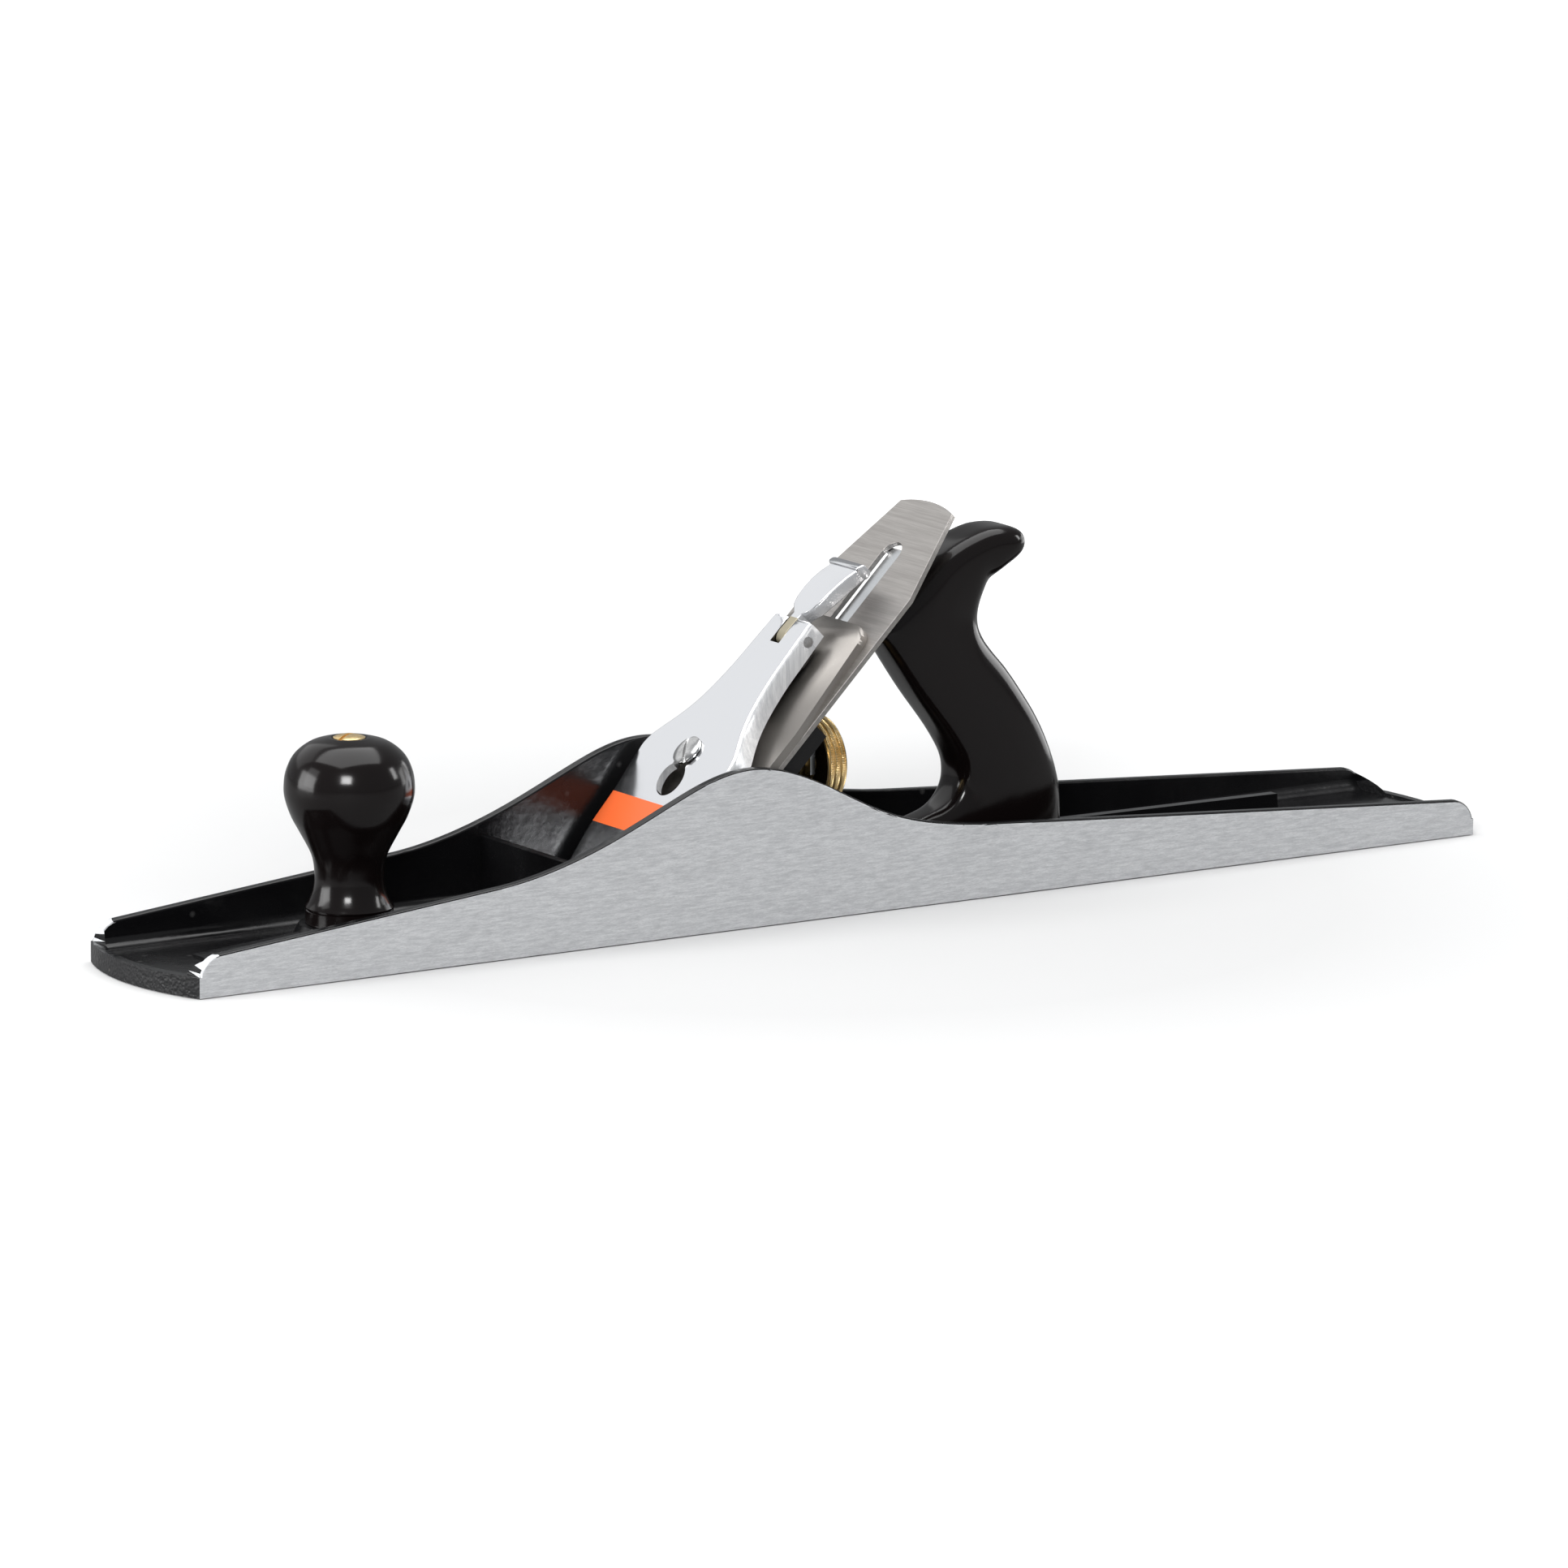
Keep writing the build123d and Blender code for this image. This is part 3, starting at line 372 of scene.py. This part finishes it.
def make_floor_paint():
    """White to the camera and glowing far away, but grey in reflections, so that blacks stay black."""
    paint = finish("floor_paint", (0.24, 0.24, 0.24), (0.26, 0.26, 0.26), 0.0, (0.8, 0.9), GRAIN,
                   (6.0, 6.0, 6.0))
    tree = paint.node_tree
    ray = add(tree, "ShaderNodeLightPath")
    mix = add(tree, "ShaderNodeMixShader")
    both = add(tree, "ShaderNodeAddShader")
    glow = add(tree, "ShaderNodeEmission")
    white = add(tree, "ShaderNodeBsdfDiffuse")
    white.inputs["Color"].default_value = (0.59, 0.59, 0.59, 1)
    place = add(tree, "ShaderNodeTexCoord")
    reach = add(tree, "ShaderNodeVectorMath", operation="LENGTH")
    rise = add(tree, "ShaderNodeMapRange")
    rise.inputs["From Min"].default_value = 0.2
    rise.inputs["From Max"].default_value = 1.2
    tree.links.new(place.outputs["Object"], reach.inputs[0])
    tree.links.new(reach.outputs["Value"], rise.inputs["Value"])
    tree.links.new(rise.outputs["Result"], glow.inputs["Strength"])
    tree.links.new(white.outputs["BSDF"], both.inputs[0])
    tree.links.new(glow.outputs["Emission"], both.inputs[1])
    tree.links.new(ray.outputs["Is Camera Ray"], mix.inputs["Fac"])
    tree.links.new(tree.nodes["Principled BSDF"].outputs["BSDF"], mix.inputs[1])
    tree.links.new(both.outputs["Shader"], mix.inputs[2])
    tree.links.new(mix.outputs["Shader"], tree.nodes["Material Output"].inputs["Surface"])
    return paint


floor.data.materials.append(make_floor_paint())
print("finishes made:", len(bpy.data.materials))

# %% [markdown]
# ## From CAD node to finished piece
# The CAD meshes are exact but have razor edges, and no real edge is that sharp. For each node a copy of
# its mesh is joined up, its flat triangles are dissolved into whole faces, and every sharp edge gets a
# narrow rounded bevel that catches the light. The other way, a Bevel modifier on the node itself, would
# bevel the triangles too. Two nodes, the bent cap iron and the domed lever cap, keep their triangles
# and get no bevel here, because it would break up their curved faces. A Weighted Normal modifier keeps
# the large faces of the bevelled ones looking flat.

# %% A finished copy of a node
BEVEL_STEPS = 2


def link(name, form, materials, body, smooth=30.0):
    """Makes an object from a bmesh, shades it smooth up to an angle, and rides it on a body."""
    mesh = bpy.data.meshes.new(name)
    form.to_mesh(mesh)
    form.free()
    obj = bpy.data.objects.new(name, mesh)
    bpy.context.scene.collection.objects.link(obj)
    for material in materials:
        mesh.materials.append(material)
    mesh.polygons.foreach_set("use_smooth", [True] * len(mesh.polygons))
    mesh.set_sharp_from_angle(angle=math.radians(smooth))
    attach(obj, body)
    return obj


def body_of(node):
    """The name of the body that carries a CAD node."""
    bodies = frame["record"]["behaviour"]["bodies"]
    return next(name for name, nodes in bodies.items() if node in nodes)


def joined_copy(node, join=True):
    """A bmesh of a node's shape, with its triangles joined into faces if join is set."""
    form = bmesh.new()
    form.from_mesh(frame["nodes"][node].data)
    form.transform(frame["nodes"][node].matrix_world)
    bmesh.ops.remove_doubles(form, verts=form.verts, dist=2e-6)
    if join:
        bmesh.ops.dissolve_limit(form, angle_limit=math.radians(0.6), verts=form.verts, edges=form.edges)
    return form


def round_edges(form, width, corner, steps):
    """Bevels the edges that turn by more than corner degrees."""
    limit = math.radians(corner)
    sharp = [e for e in form.edges if e.is_manifold and e.calc_face_angle(0) > limit]
    bmesh.ops.bevel(form, geom=sharp, offset=width, offset_type="OFFSET", affect="EDGES",
                    segments=steps, profile=0.5, material=-1, clamp_overlap=True)
    return len(sharp)


def finished(node, materials, width, corner=32.0, choose=None, smooth=40.0, cut=None):
    """A copy that stands for a CAD node, bevelled by width mm; choose picks each face's material."""
    form = joined_copy(node, width > 0)
    count = round_edges(form, width * MM, corner, BEVEL_STEPS) if width else 0
    if cut:
        cut(form)
    if choose:
        for face in form.faces:
            face.material_index = choose(face.calc_center_median(), face.normal)
    piece = link(node + "_finished", form, materials, body_of(node), smooth)
    if width:
        even = piece.modifiers.new("even_shading", "WEIGHTED_NORMAL")
        even.keep_sharp = True
    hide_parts(node)
    print(piece.name, "edges rounded:", count, "faces:", len(piece.data.polygons))
    return piece


# %% [markdown]
# ## The body casting
# The sole and both sides are ground bright after the casting is painted, so the paint stops exactly
# where the grinding starts. Faces are sorted by where they lie and where they point: outer sides and
# sole are ground, the two end faces are rough, the toe's corners are rubbed bare and everything inside
# is enamel.

# %% Casting
SIDE_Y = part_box("body_casting")[1].y
SOLE_TOP_Z = 0.9 * MM                    # up to the sole's own bevel
END_X = 270 * MM                         # the rounded ends start about here
END_TOP_Z = 8 * MM
TOE_CORNER_X = -264.5 * MM
TOE_CORNER_Y = SIDE_Y - 4.2 * MM
TOE_CORNER_Z = 7 * MM


def casting_face(centre, normal):
    """0 enamel, 1 ground iron, 2 rough end."""
    if centre.z < SOLE_TOP_Z or abs(normal.y) > 0.96 and abs(centre.y) > SIDE_Y - 0.3 * MM:
        return 1
    if abs(normal.x) > 0.6 and abs(centre.x) > END_X and centre.z < END_TOP_Z:
        return 2
    if centre.x < TOE_CORNER_X and abs(centre.y) > TOE_CORNER_Y and centre.z > TOE_CORNER_Z:
        return 1
    return 0


finished("body_casting", [black_enamel, ground_iron, raw_end], 0.9, corner=38.0, choose=casting_face,
         smooth=35.0)

# %% [markdown]
# ## Small steel and zinc parts, and the frog
# Screws, pins, washers and plates only need their edges broken and the right metal, so a loop finishes
# them all with the helper above. The frog is a casting, enamelled like the body. Each could have its
# own cell, but they would all say the same.

# %% Small parts
SMALL = {
    "frog_screws": bright_steel, "frog_washers": bright_steel, "frog_adjusting_screw": bright_steel,
    "frog_clip": zinc, "frog_clip_screw": bright_steel, "adjuster_stud": bright_steel,
    "yoke_lever": zinc, "yoke_pin": bright_steel, "lateral_pivot_rivet": zinc,
    "lateral_roller": zinc, "cap_iron_screw": bright_steel, "lever_cap_screw": bright_steel,
    "cam_pin": bright_steel, "cap_spring": spring_steel, "spring_rivet": bright_steel,
    "knob_stud": bright_steel, "tote_rod": bright_steel, "tote_toe_screw": bright_steel,
    "lateral_lever": zinc,
}
for node, metal in SMALL.items():
    finished(node, [metal], 0.2)
finished("frog", [black_enamel], 0.6)

# %% [markdown]
# ## The cutter
# The iron is surface ground across its width, so its lines run across. The cap iron is bent from
# sheet and sand-blasted, so it gets an even grain instead of lines.

# %% Iron and cap iron
finished("cutting_iron", [iron_steel], 0.22)
finished("cap_iron", [satin_steel], 0, smooth=32.0)

# %% [markdown]
# ## The lever cap and its cam lever
# Both are cast, polished and chromed. The top is mirror-like, the side walls keep the vertical lines of
# the belt that ground them, and the cam lever keeps some of its cast skin along the sides. One band is
# painted, and the walls inside the slot for the cam lever get dark steel as painted shade.

# %% Lever cap
BAND_U = (31.0, 44.5)                    # the painted band, measured up the iron
BAND_LOW_W = 9.5 * MM                    # the cap's top is higher than this above the iron
NOTCH_U = 118.0
NOTCH_HALF = 3.1 * MM


def cap_face(centre, normal):
    """0 polished top, 1 brushed wall."""
    return 1 if abs(normal.y) > 0.6 else 0


def band_face(centre, normal):
    """As cap_face, with 2 for the painted band across the top and 3 for the walls inside the notch, which
    get dark steel as painted shade.
    """
    place = BED.inverted() @ centre
    u = place.x / MM
    facing = normal.dot(Vector((-SLOPE, 0, SLOPE)))
    # Faces inside the notch get dark steel: painted shade.
    if u > NOTCH_U and abs(centre.y) < NOTCH_HALF and facing < 0.5:
        return 3
    if BAND_U[0] < u < BAND_U[1] and facing > 0.6 and place.z > BAND_LOW_W:
        return 2
    return cap_face(centre, normal)


def cut_band(form):
    """Cuts the mesh along both edges of the band, so that the paint ends in a straight line."""
    for u in BAND_U:
        everything = list(form.verts) + list(form.edges) + list(form.faces)
        bmesh.ops.bisect_plane(form, geom=everything, plane_co=on_bed(u, 0, 0),
                               plane_no=Vector((SLOPE, 0, SLOPE)), dist=1e-7)


finished("lever_cap", [chrome, brushed_chrome, orange_paint, spring_steel], 0, choose=band_face,
         smooth=28.0, cut=cut_band)

# %% [markdown]
# ## The cam lever
# The thumb lever is a casting: a narrow cam that swells into a paddle and ends in a raised lip. It is
# lofted: rounded rectangles are set out along it and joined with `bridge_loops`. A bevelled box could
# not change its section so often. Its neck, which rubs inside the slot, is worn nickel.

# %% Loft
RING_POINTS = 20                         # five on each rounded corner
NECK_END_U = 131.0


def ring(form, u, half, top, low, corner):
    """A loop of edges round one section of the lever, square to the iron's length."""
    corner = min(corner, half * 0.95, (top - low) * 0.48)
    loop = []
    for k in range(RING_POINTS):
        turn = math.radians(9 + 18 * k)
        side = math.copysign(half - corner, math.cos(turn))
        mid = top - corner if math.sin(turn) > 0 else low + corner
        quarter = math.radians(90) * (k % 5) / 4 + math.radians(90) * (k // 5)
        place = on_bed(u, side + corner * math.cos(quarter), mid + corner * math.sin(quarter))
        loop.append(form.verts.new(place))
    return [form.edges.new(pair) for pair in zip(loop, loop[1:] + loop[:1])]


# distance up the iron, half width, top, bottom, corner radius
CAM_RINGS = [(119.9, 2.3, 13.4, 10.6, 0.4), (120.6, 2.5, 14.7, 9.3, 0.4), (122.0, 2.5, 15.6, 8.4, 0.4)]
CAM_RINGS += [(124.0, 2.5, 15.9, 8.1, 0.4), (130.4, 2.5, 15.6, 9.0, 0.4), (132.4, 2.6, 15.5, 9.6, 0.5)]
CAM_RINGS += [(134.0, 4.6, 15.5, 10.4, 0.7), (136.0, 6.8, 15.5, 10.4, 0.9), (139.0, 8.0, 15.5, 10.2, 1.0)]
CAM_RINGS += [(143.0, 8.6, 15.3, 9.6, 1.0), (148.0, 9.0, 14.7, 8.8, 1.0), (152.5, 9.0, 13.7, 7.9, 1.0)]
CAM_RINGS += [(156.2, 8.9, 12.4, 7.0, 1.0), (156.8, 9.1, 12.3, 6.9, 0.9), (157.2, 9.6, 12.9, 6.8, 0.9)]
CAM_RINGS += [(157.9, 10.0, 13.1, 6.8, 0.9), (159.4, 10.2, 12.5, 7.0, 0.9), (160.2, 10.0, 11.7, 7.6, 0.9)]
form = bmesh.new()
rings = [ring(form, *row) for row in CAM_RINGS]
for one, two in zip(rings, rings[1:]):
    bmesh.ops.bridge_loops(form, edges=one + two)
for end in (rings[0], rings[-1]):
    bmesh.ops.edgeloop_fill(form, edges=end)
bmesh.ops.recalc_face_normals(form, faces=form.faces)
for face in form.faces:
    centre = face.calc_center_median()
    reach = (BED.inverted() @ centre).x / MM
    face.material_index = 2 if reach < NECK_END_U else cap_face(centre, face.normal)
cam = link("cam_lever_finished", form, [chrome, cast_chrome, worn_nickel], "cam_lever", smooth=34.0)
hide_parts("cam_lever")
print("cam lever faces:", len(cam.data.polygons))

# %% [markdown]
# ## Turned pieces
# A knob and a knurled wheel are turned on a lathe, so the natural tool is `spin`: half an outline is
# carried once round the axis. A subdivided cylinder would need the same outline anyway. The wheel's
# knurl is made by spinning it in many steps and pulling in every second column of its three ridges.

# %% Turning helpers


def smooth_line(points, steps=6):
    """Points on a curve that passes smoothly through the given ones."""
    ends = [points[0]] + list(points) + [points[-1]]
    line = []
    for a, b, c, d in zip(ends, ends[1:], ends[2:], ends[3:]):
        for k in range(steps):
            t = k / steps
            line.append(tuple(0.5 * (2 * q + (r - p) * t + (2 * p - 5 * q + 4 * r - s) * t * t
                                     + (3 * q - p - 3 * r + s) * t ** 3) for p, q, r, s in zip(a, b, c, d)))
    return line + [tuple(points[-1])]


def turned(profile, axis, foot, steps):
    """Spins (radius, height) points in mm about an axis through foot."""
    form = bmesh.new()
    side = axis.orthogonal().normalized()
    verts = [form.verts.new(foot + side * r * MM + axis * h * MM) for r, h in profile]
    edges = [form.edges.new(pair) for pair in zip(verts, verts[1:])]
    bmesh.ops.spin(form, geom=verts + edges, cent=foot, axis=axis, angle=2 * math.pi, steps=steps,
                   use_merge=True, use_duplicate=False)
    bmesh.ops.remove_doubles(form, verts=form.verts, dist=1e-6)
    bmesh.ops.recalc_face_normals(form, faces=form.faces)
    return form


# %% Front knob
stud_low, stud_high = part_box("knob_stud")
KNOB_FOOT = Vector(((stud_low.x + stud_high.x) / 2, 0, 0))
COLLAR = [(0, 11.5), (15.5, 11.5), (15.75, 11.8), (15.75, 16.4), (15.3, 16.8), (15.3, 17.0), (15.9, 17.2)]
HEAD = [(15.9, 17.6), (14.6, 19.8), (13.1, 23.7), (12.5, 29.0), (13.6, 36.3), (17.8, 44.6), (20.8, 50.2)]
HEAD += [(23.0, 56.6), (23.4, 61.5), (22.5, 67.0), (19.6, 72.6), (14.0, 76.9), (7.2, 78.8)]
SEAT = [(6.5, 78.7), (6.1, 78.2), (6.1, 74.0), (3.1, 73.8), (3.1, 73.0)]
form = turned(COLLAR + smooth_line(HEAD) + SEAT, Vector((0, 0, 1)), KNOB_FOOT, 96)
knob = link("front_knob_finished", form, [black_plastic], "body")
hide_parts("front_knob")
print("knob faces:", len(knob.data.polygons))

# %% Brass nuts
finished("knob_nut", [brass], 0.22)
finished("tote_nut", [brass], 0.22)

# %% Depth wheel
wheel_low, wheel_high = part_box("depth_wheel")
WHEEL_FOOT = Vector((0, 0, (wheel_low.z + wheel_high.z) / 2))
WHEEL_STEPS = 240
KNURL_R = 16.2 * MM                      # only points outside this are knurled
KNURL_DEPTH = 0.42 * MM
PAINTED_SHADE_R = (7.6 * MM, 15.3 * MM)           # the recessed front face, darkened brass as painted shade
PAINTED_SHADE_X = (5 * MM, 8 * MM)
RIDGES = [(6.9, 8.3), (9.2, 10.9), (11.8, 13.6)]
HUB = [(3.06, -1.2), (3.3, -1.5), (7.2, -1.5), (7.5, -1.2), (7.5, 0.0), (7.2, 0.3), (5.5, 0.3), (5.5, 5.2)]
DISH = [(7.0, 5.4), (7.3, 5.9), (8.2, 6.9), (13.6, 6.9), (14.6, 6.3), (15.4, 5.8), (15.9, 6.1)]
RIM = []
for low, high in RIDGES:
    RIM += [(15.5, low - 0.25), (16.3, low), (16.45, low + 0.3), (16.45, high - 0.3), (16.3, high),
            (15.5, high + 0.25)]
REAR = [(15.2, 14.3), (14.4, 14.5), (13.2, 14.3), (12.8, 12.4), (7.6, 12.2), (6.9, 13.0), (6.6, 14.5),
        (3.3, 14.5), (3.06, 14.2)]
form = turned(HUB + DISH + RIM + REAR + [HUB[0]], Vector((1, 0, 0)), WHEEL_FOOT, WHEEL_STEPS)
for vert in form.verts:
    arm = Vector((0, vert.co.y, vert.co.z - WHEEL_FOOT.z))
    column = round(math.atan2(arm.z, arm.y) / (2 * math.pi) * WHEEL_STEPS)
    if arm.length > KNURL_R and column % 2:
        vert.co -= arm.normalized() * KNURL_DEPTH
# The recessed front face gets the darkened brass: painted shade.
for face in form.faces:
    centre = face.calc_center_median()
    radius = math.hypot(centre.y, centre.z - WHEEL_FOOT.z)
    front = PAINTED_SHADE_R[0] < radius < PAINTED_SHADE_R[1] and PAINTED_SHADE_X[0] < centre.x < PAINTED_SHADE_X[1]
    face.material_index = 1 if front else 0
wheel = link("depth_wheel_finished", form, [brass, painted_shade_brass], "depth_wheel", smooth=50.0)
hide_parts("depth_wheel")
print("wheel faces:", len(wheel.data.polygons))

# %% [markdown]
# ## The tote
# The rear handle is moulded plastic shaped like a carved one, with every edge flowing round. Its side
# outline is drawn once, filled, extruded to its thickness and bevelled. A voxel Remesh turns that into
# an even skin, whose points are then drawn in towards the outline, most along the back, where the palm
# rests. A second Remesh evens it out and smoothing works like sandpaper. Sculpting would give the same
# form but not the same one twice.

# %% Tote outline
tote_low, tote_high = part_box("tote")

# (x, z) in mm, from the foot of the back round to the foot of the front
BACK = [(114.4, 4.0), (113.6, 29.2), (105.4, 52.7), (91.8, 73.7), (79.6, 88.5), (77.0, 98.5)]
BACK += [(81.6, 110.2), (93.8, 118.4), (96.2, 123.6), (94.0, 127.6)]
CROWN = [(88.0, 129.4), (77.0, 128.6), (60.5, 121.4), (42.0, 105.2), (35.6, 96.4), (34.6, 93.0)]
FRONT = [(37.2, 89.0), (49.8, 70.8), (63.0, 53.6), (69.4, 40.6), (65.0, 29.4), (54.0, 24.6), (33.0, 19.4)]
FRONT += [(28.6, 15.0), (28.4, 4.0)]
outline = smooth_line(BACK + CROWN + FRONT, 5)
blank_half = tote_high.y + 0.1 * MM      # a little over, because smoothing draws it in
EDGE_ROUND = 5.0 * MM

form = bmesh.new()
rim = [form.verts.new((x * MM, -blank_half, z * MM)) for x, z in outline]
side = form.faces.new(rim)
grown = bmesh.ops.extrude_face_region(form, geom=[side])
moved = [v for v in grown["geom"] if isinstance(v, bmesh.types.BMVert)]
bmesh.ops.translate(form, verts=moved, vec=(0, 2 * blank_half, 0))
bmesh.ops.recalc_face_normals(form, faces=form.faces)
across = [e for e in form.edges if abs(e.verts[0].co.y - e.verts[1].co.y) < MM]
bmesh.ops.bevel(form, geom=across, offset=EDGE_ROUND, offset_type="OFFSET", affect="EDGES", segments=4,
                profile=0.5, material=-1, clamp_overlap=False)
tote = link("tote_finished", form, [black_plastic], "body")
print("outline points:", len(outline))

# %% Tote skin
SPINE = smooth_line([(74, 4), (90, 30), (85, 52), (70, 76), (57, 98), (68, 116), (90, 124)], 8)
CROWNING = 0.2                           # how much thinner the sides get, SIDE_REACH mm off the spine
SIDE_REACH = 18.0
SIDE_LIMIT = 1.4
BACK_LINE = smooth_line(BACK[:7], 8)
BACK_ROUND = 10.0
BACK_START = 0.7                         # keeps some thickness on the very back
VOXEL = 1.0 * MM
SANDING = 14


def skinned(obj):
    """A bmesh of obj's mesh made into an even skin of VOXEL-sized faces."""
    remesh = obj.modifiers.new("skin", "REMESH")
    remesh.mode = "VOXEL"
    remesh.voxel_size = VOXEL
    graph = bpy.context.evaluated_depsgraph_get()
    skin = bpy.data.meshes.new_from_object(obj.evaluated_get(graph))
    obj.modifiers.clear()
    even = bmesh.new()
    even.from_mesh(skin)
    return even


def nearest(line, co):
    """Distance in mm from co to the nearest point of a side outline."""
    return min(math.hypot(x - co.x / MM, z - co.z / MM) for x, z in line)


form = skinned(tote)
for vert in form.verts:
    vert.co.y *= 1.0 - CROWNING * min(nearest(SPINE, vert.co) / SIDE_REACH, SIDE_LIMIT) ** 2
    depth = min(nearest(BACK_LINE, vert.co) + BACK_START, BACK_ROUND) / BACK_ROUND
    limit = tote_high.y * math.sqrt(1.0 - (1.0 - depth) ** 2)
    vert.co.y = max(-limit, min(limit, vert.co.y))
form.to_mesh(tote.data)
form.free()
form = skinned(tote)
for _ in range(SANDING):
    bmesh.ops.smooth_vert(form, verts=form.verts, factor=0.5, use_axis_x=True, use_axis_y=True,
                          use_axis_z=True)
everything = list(form.verts) + list(form.edges) + list(form.faces)
cut = bmesh.ops.bisect_plane(form, geom=everything, plane_co=(0, 0, tote_low.z), plane_no=(0, 0, 1),
                             clear_inner=True)
bmesh.ops.holes_fill(form, edges=[e for e in cut["geom_cut"] if isinstance(e, bmesh.types.BMEdge)])
form.to_mesh(tote.data)
form.free()
tote.data.polygons.foreach_set("use_smooth", [True] * len(tote.data.polygons))
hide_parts("tote")
print("tote faces:", len(tote.data.polygons))
